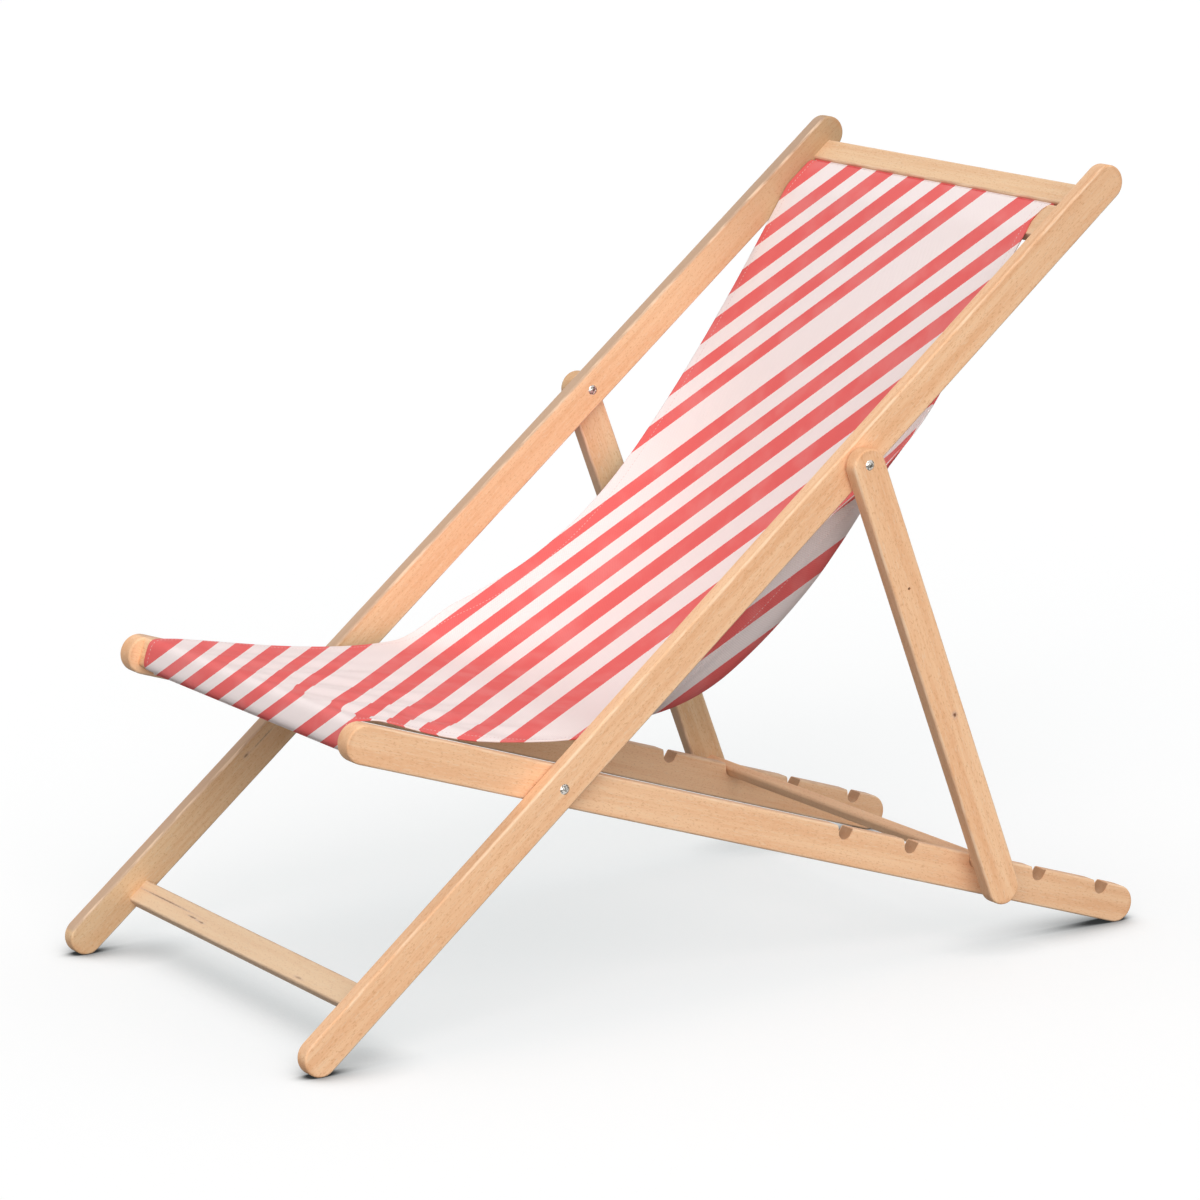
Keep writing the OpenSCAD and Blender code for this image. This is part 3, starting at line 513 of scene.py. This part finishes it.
def even(path, spacing, *values):
    """The path resampled at even steps, with its running length and its values."""
    steps = np.linalg.norm(np.diff(path, axis=0), axis=1)
    run = np.concatenate([[0], np.cumsum(steps)])
    at = np.linspace(0, run[-1], int(run[-1] / spacing) + 1)
    out = np.stack([np.interp(at, run, path[:, i]) for i in (0, 1)], axis=1)
    return out, at, [np.interp(at, run, v) for v in values]


def columns():
    """Shares of the way across the cloth, from its right edge to its left, closer at the hems."""
    wide, narrow = LEFT_FRONT - RIGHT_TOP, LEFT_FRONT - RIGHT_FRONT
    middle_width = RIGHT_FULL / 2 * wide + (1 - RIGHT_FULL / 2) * narrow
    edge = np.array([0, 0.8, 2.4, 5, HEM_SEAM, HEM_END, HEM_END + 1, HEM_END + 4]) / middle_width
    middle = np.linspace(edge[-1], 1 - edge[-1], MIDDLE_COLUMNS)
    return np.concatenate([edge[:-1], middle, 1 - edge[-2::-1]])


def sling_surface(thickness, spacing, ripple):
    """Middle surface of the cloth: points, normals, place on the flat sheet and extra thickness of the
    hems below, as arrays of rows."""
    raw, hang, face = sling_path(thickness)
    path, run, (t, up_face) = even(raw, spacing, hang, face)
    # Two passes of smoothing, which round the path where its arcs and the hang meet
    for _ in range(2):
        path[1:-1] = (path[:-2] + 2 * path[1:-1] + path[2:]) / 4
    along = np.gradient(path, axis=0)
    along /= np.linalg.norm(along, axis=1)[:, None]
    square = np.stack([-along[:, 1], along[:, 0]], axis=1)
    right = RIGHT_FRONT + (RIGHT_TOP - RIGHT_FRONT) * np.minimum(1, t / RIGHT_FULL)
    left = LEFT_FRONT + (LEFT_TOP - LEFT_FRONT) * ease((t - LEFT_TURN) / (1 - LEFT_TURN))
    left = left + (LEFT_SLOT - LEFT_TOP) * up_face - LEFT_TUCK * np.sin(math.pi * up_face)
    u, rows = columns()[None, :], t[:, None]
    width = (left - right)[:, None]
    x = right[:, None] + width * u
    lift = SKEW / 2 * np.sin(2 * math.pi * rows) * (1 - 2 * u)
    lift = lift - BAG * swell(rows, *BAG_SWELL) * (1 - (2 * u - 1) ** 4)
    lift = lift + RIGHT_CURL * swell(rows, *RIGHT_SWELL) * np.maximum(0, 1 - u * width / CURL_WIDTH) ** 2
    lift = lift + LEFT_CURL * swell(rows, *LEFT_SWELL) * np.maximum(0, 1 - (1 - u) * width / CURL_WIDTH) ** 2
    # Soft folds that run back from the front bar and die out over the seat
    folds = sum(share * np.sin(2 * math.pi * (u * across + rows * back + start))
                for across, back, start, share in FOLDS)
    lift = lift + ripple * swell(rows, *FOLD_SWELL) * folds * (FOLD_LEAST + (1 - FOLD_LEAST) * u)
    points = np.stack([x, path[:, 0][:, None] + square[:, 0][:, None] * lift,
                       path[:, 1][:, None] + square[:, 1][:, None] * lift], axis=2)
    normals = np.cross(np.gradient(points, axis=1), np.gradient(points, axis=0))
    normals /= np.linalg.norm(normals, axis=2)[:, :, None]
    flat = np.stack([x, np.broadcast_to(run[:, None], x.shape), np.zeros_like(x)], axis=2)
    from_edge = np.minimum(u, 1 - u) * width
    hems = HEM_EXTRA * (1 - ease(from_edge - HEM_END)) * (1 - ease(4 * up_face))[:, None]
    return points, normals, flat, hems


def sling_parts():
    """The cloth's surface for the settings in use, in millimetres."""
    s = bpy.context.scene.deck_chair.canvas
    return sling_surface(s.thickness / MM, s.spacing / MM, s.ripple / MM)


def bend_with_chair(piece):
    """Bakes the placement of a piece of the sling into its mesh."""
    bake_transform(piece)


def build_stitches():
    """The lockstitch rows of the sling: both side hems on both faces, and the seam of each pocket."""
    s = bpy.context.scene.deck_chair.canvas
    middle, normals, _, hems = sling_parts()
    seam = int(np.argmin(np.abs(columns() * (LEFT_FRONT - RIGHT_FRONT) - HEM_SEAM)))
    half = s.thickness / MM / 2
    lines = []
    for column in (seam, -1 - seam):
        below = half + hems[2:-2, column][:, None]
        lines.append(middle[2:-2, column] + normals[2:-2, column] * half)
        lines.append(middle[2:-2, column] - normals[2:-2, column] * below)
    for row in (1, -2):
        lines.append(middle[row, 2:-2] - normals[row, 2:-2] * half)
    points = np.concatenate(lines) * MM
    starts = np.cumsum([0] + [len(line) for line in lines])
    edges = [(i, i + 1) for a, b in zip(starts, starts[1:]) for i in range(a, b - 1)]
    mesh = bpy.data.meshes.new("sling_seams")
    mesh.from_pydata(points.tolist(), edges, [])
    guide = bpy.data.objects.new("sling_seams", mesh)
    bpy.context.scene.collection.objects.link(guide)

    tree = bpy.data.node_groups.new("Lockstitch rows", "GeometryNodeTree")
    sockets = {"Seams": "Geometry", "Pitch": "Float", "Stitch Length": "Float", "Thread Radius": "Float",
               "Thread": "Material"}
    made = {name: tree.interface.new_socket(name, in_out="INPUT", socket_type="NodeSocket" + kind)
            for name, kind in sockets.items()}
    tree.interface.new_socket("Stitches", in_out="OUTPUT", socket_type="NodeSocketGeometry")
    given = add(tree, "NodeGroupInput").outputs
    seams = add(tree, "GeometryNodeMeshToCurve", {"Mesh": given["Seams"]})
    places = add(tree, "GeometryNodeCurveToPoints", {"Curve": seams, "Length": given["Pitch"]},
                 mode="LENGTH").outputs
    bead = add(tree, "GeometryNodeMeshUVSphere", {"Segments": 6, "Rings": 4, "Radius": 1.0})
    half_length = add(tree, "ShaderNodeMath", {0: given["Stitch Length"], 1: 0.5}, operation="MULTIPLY")
    uneven = add(tree, "FunctionNodeRandomValue", {"Min": 0.88, "Max": 1.08, "Seed": 11}, data_type="FLOAT")
    reach = add(tree, "ShaderNodeMath", {0: half_length, 1: uneven}, operation="MULTIPLY")
    size = add(tree, "ShaderNodeCombineXYZ", {"X": given["Thread Radius"], "Y": given["Thread Radius"],
               "Z": reach})
    copies = add(tree, "GeometryNodeInstanceOnPoints", {"Points": places["Points"], "Instance": bead,
                 "Rotation": places["Rotation"], "Scale": size})
    real = add(tree, "GeometryNodeRealizeInstances", {"Geometry": copies})
    finished = add(tree, "GeometryNodeSetMaterial", {"Geometry": real, "Material": given["Thread"]})
    add(tree, "NodeGroupOutput", {"Stitches": finished})

    sewing = guide.modifiers.new("Lockstitch rows", "NODES")
    sewing.node_group = tree
    for name, value in (("Pitch", s.pitch), ("Stitch Length", s.stitch), ("Thread Radius", s.thread),
                        ("Thread", thread())):
        sewing[made[name].identifier] = value
    sewn = bpy.data.meshes.new_from_object(guide.evaluated_get(bpy.context.evaluated_depsgraph_get()))
    sewn.shade_smooth()
    bpy.data.objects.remove(guide)
    stitches = bpy.data.objects.new("sling_stitches", sewn)
    bpy.context.scene.collection.objects.link(stitches)
    bend_with_chair(stitches)


def build_sling():
    """The canvas sling as one closed thin mesh, from the seat frame to the back frame."""
    thickness = bpy.context.scene.deck_chair.canvas.thickness / MM
    middle, normals, flat, hems = sling_parts()
    rows, count = middle.shape[0], middle.shape[0] * middle.shape[1]
    top = (middle + normals * thickness / 2).reshape(-1, 3)
    bottom = (middle - normals * (thickness / 2 + hems[:, :, None])).reshape(-1, 3)
    points = np.concatenate([top, bottom]) * MM
    index = np.arange(count).reshape(rows, -1)
    a, b, c, d = index[:-1, :-1], index[:-1, 1:], index[1:, 1:], index[1:, :-1]
    upper = np.stack([a, b, c, d], axis=2).reshape(-1, 4)
    lower = np.stack([a, d, c, b], axis=2).reshape(-1, 4) + count
    rim = np.concatenate([index[0, :-1], index[:-1, -1], index[-1, :0:-1], index[:0:-1, 0]])
    after = np.roll(rim, -1)
    sides = np.stack([rim, rim + count, after + count, after], axis=1)
    mesh = bpy.data.meshes.new("canvas_sling")
    mesh.from_pydata(points.tolist(), [], np.concatenate([upper, lower, sides]).tolist())
    mesh.validate()
    mesh.shade_smooth()
    sheet = mesh.attributes.new("sheet_mm", "FLOAT_VECTOR", "POINT")
    sheet.data.foreach_set("vector", np.concatenate([flat.reshape(-1, 3)] * 2).astype(np.float32).ravel())
    # Where the cloth curls up at its left edge, the stripes of the upper face go on and don't turn back
    places = band_place(points).reshape(2, rows, -1)
    climb = np.maximum(np.diff(places[0], axis=1), LEAST_CLIMB * np.diff(flat[:, :, 0], axis=1))
    places[0, :, 1:] = places[0, :, :1] + np.cumsum(climb, axis=1)
    band = mesh.attributes.new("band_mm", "FLOAT", "POINT")
    band.data.foreach_set("value", places.astype(np.float32).ravel())
    mesh.materials.append(canvas())
    sling = bpy.data.objects.new("canvas_sling", mesh)
    bpy.context.scene.collection.objects.link(sling)
    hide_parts("sling_seat", "sling_back")
    bend_with_chair(sling)


class DECKCHAIR_OT_sling(bpy.types.Operator):
    """Hang the striped canvas between the front rod and the top rod"""
    bl_idname = "deckchair.sling"
    bl_label = "Canvas sling"

    def execute(self, context):
        build_sling()
        return {"FINISHED"}


class DECKCHAIR_OT_stitches(bpy.types.Operator):
    """Sew the side hems and the rod pockets of the sling"""
    bl_idname = "deckchair.stitches"
    bl_label = "Sling stitching"

    def execute(self, context):
        build_stitches()
        return {"FINISHED"}


class DECKCHAIR_OT_wood(bpy.types.Operator):
    """Give every wooden piece its own oiled beech, with the grain along the piece"""
    bl_idname = "deckchair.wood"
    bl_label = "Oiled beech"

    def execute(self, context):
        for seed, (name, piece) in enumerate(wood_pieces().items(), 1):
            node = frame["nodes"][name]
            node.data.materials.clear()
            node.data.materials.append(beech("Oiled beech, " + name.replace("_", " "), seed,
                                             WOOD_AGE[name], *piece))
        return {"FINISHED"}


class DECKCHAIR_OT_fittings(bpy.types.Operator):
    """Plate the screws, barrel nuts and washers"""
    bl_idname = "deckchair.fittings"
    bl_label = "Pivot fittings"

    def execute(self, context):
        plated = nickel()
        for name, node in frame["nodes"].items():
            if "_pivot_" in name:
                node.data.materials.clear()
                node.data.materials.append(plated)
        return {"FINISHED"}


def seen_or_mirrored(tree):
    """1 for a ray from the camera and for one that a mirror or glass sent on, and 0 for the rest."""
    path = add(tree, "ShaderNodeLightPath").outputs
    mirrored = add(tree, "ShaderNodeMath", {0: path["Is Glossy Ray"], 1: path["Is Transmission Ray"]},
                   operation="MAXIMUM")
    return add(tree, "ShaderNodeMath", {0: path["Is Camera Ray"], 1: mirrored}, operation="MAXIMUM")


# Half the floor's side, and how far it lies below the feet, in metres
FLOOR_REACH, FLOOR_DROP = 30.0, 0.0005


def floor_material():
    """Pale matt studio floor: white where the camera sees it lit, grey where the chair shades it."""
    material, tree = new_material("Studio floor, matt paint")
    seen = seen_or_mirrored(tree)
    plain = add(tree, "ShaderNodeBsdfDiffuse", {"Color": (0.12, 0.12, 0.12, 1)})
    # Close under a foot the floor darkens further: a painted contact shadow, taken from the occlusion there,
    # that dims both the paint and the glow
    near = add(tree, "ShaderNodeAmbientOcclusion", {"Distance": 0.08}, samples=32).outputs["AO"]
    open_share = add(tree, "ShaderNodeMapRange", {"Value": near, "From Min": 0.3, "From Max": 0.97,
                     "To Min": 0.05, "To Max": 1}, interpolation_type="SMOOTHSTEP")
    # The cloth throws pink light down, so the paint takes less of the green and blue
    paint = add(tree, "ShaderNodeMix", {0: open_share, 6: (0, 0, 0, 1), 7: (0.50, 0.44, 0.43, 1)},
                data_type="RGBA")
    shaded = add(tree, "ShaderNodeBsdfDiffuse", {"Color": paint})
    lamp = add(tree, "ShaderNodeEmission", {"Color": (0.52, 0.58, 0.59, 1), "Strength": open_share})
    lit = add(tree, "ShaderNodeAddShader", {0: shaded, 1: lamp})
    both = add(tree, "ShaderNodeMixShader", {0: seen, 1: plain, 2: lit})
    add(tree, "ShaderNodeOutputMaterial", {"Surface": both})
    return material


def build_stage():
    """Floor, world, two soft lights and the camera."""
    s = bpy.context.scene.deck_chair.stage
    scene = bpy.context.scene
    mesh = bpy.data.meshes.new("studio_floor")
    corners = [(FLOOR_REACH * x, FLOOR_REACH * y, 0) for x, y in ((-1, -1), (1, -1), (1, 1), (-1, 1))]
    mesh.from_pydata(corners, [], [(0, 1, 2, 3)])
    mesh.materials.append(floor_material())
    floor = bpy.data.objects.new("studio_floor", mesh)
    floor.location.z = -FLOOR_DROP
    scene.collection.objects.link(floor)

    world = bpy.data.worlds.new("Studio world")
    world.use_nodes = True
    tree = world.node_tree
    tree.nodes.clear()
    level = add(tree, "ShaderNodeMix", {0: seen_or_mirrored(tree), 2: s.fill, 3: 1.0}, data_type="FLOAT")
    back = add(tree, "ShaderNodeBackground", {"Color": (1, 1, 1, 1), "Strength": level})
    add(tree, "ShaderNodeOutputWorld", {"Surface": back})
    scene.world = world

    for name, strength, angle, turn in (("Overhead light", s.key, 38, (6, -10, 0)),
                                        ("Side light", s.side, 60, (25, 62, 0))):
        lamp = bpy.data.lights.new(name, "SUN")
        lamp.energy, lamp.angle = strength, math.radians(angle)
        holder = bpy.data.objects.new(name, lamp)
        holder.rotation_euler = [math.radians(v) for v in turn]
        scene.collection.objects.link(holder)

    lens = bpy.data.cameras.new("Camera")
    lens.lens, lens.sensor_width = s.lens, 36
    camera = bpy.data.objects.new("Camera", lens)
    camera.location = FAN_POINT
    camera.rotation_euler = FAN_EULER
    scene.collection.objects.link(camera)
    scene.camera = camera
    scene.view_settings.view_transform = "Standard"


class DECKCHAIR_OT_stage(bpy.types.Operator):
    """Set up the pale floor, the soft light and the camera"""
    bl_idname = "deckchair.stage"
    bl_label = "Studio stage"

    def execute(self, context):
        build_stage()
        return {"FINISHED"}


OPERATORS = (DECKCHAIR_OT_stage, DECKCHAIR_OT_wood, DECKCHAIR_OT_fittings, DECKCHAIR_OT_stitches,
             DECKCHAIR_OT_sling)


class DECKCHAIR_PT_panel(bpy.types.Panel):
    """Settings and makers of the deck chair"""
    bl_label = "Deck Chair"
    bl_idname = "DECKCHAIR_PT_panel"
    bl_space_type = "VIEW_3D"
    bl_region_type = "UI"
    bl_category = "Deck Chair"

    def draw(self, context):
        settings = context.scene.deck_chair
        for group in (settings.beech, settings.canvas, settings.stage):
            column = self.layout.column(align=True)
            for key in group.__annotations__:
                column.prop(group, key)
        for operator in OPERATORS:
            self.layout.operator(operator.bl_idname)


CLASSES = (BeechSettings, CanvasSettings, StageSettings, DeckChairSettings, *OPERATORS, DECKCHAIR_PT_panel)


def register():
    """Adds the classes and the settings."""
    for cls in CLASSES:
        bpy.utils.register_class(cls)
    bpy.types.Scene.deck_chair = PointerProperty(type=DeckChairSettings)


def unregister():
    """Takes them away again."""
    del bpy.types.Scene.deck_chair
    for cls in reversed(CLASSES):
        bpy.utils.unregister_class(cls)


def main():
    """Makes the whole scene."""
    register()
    bpy.ops.deckchair.stage()
    bpy.ops.deckchair.wood()
    bpy.ops.deckchair.fittings()
    bpy.ops.deckchair.stitches()
    bpy.ops.deckchair.sling()


if __name__ == "__main__":
    main()
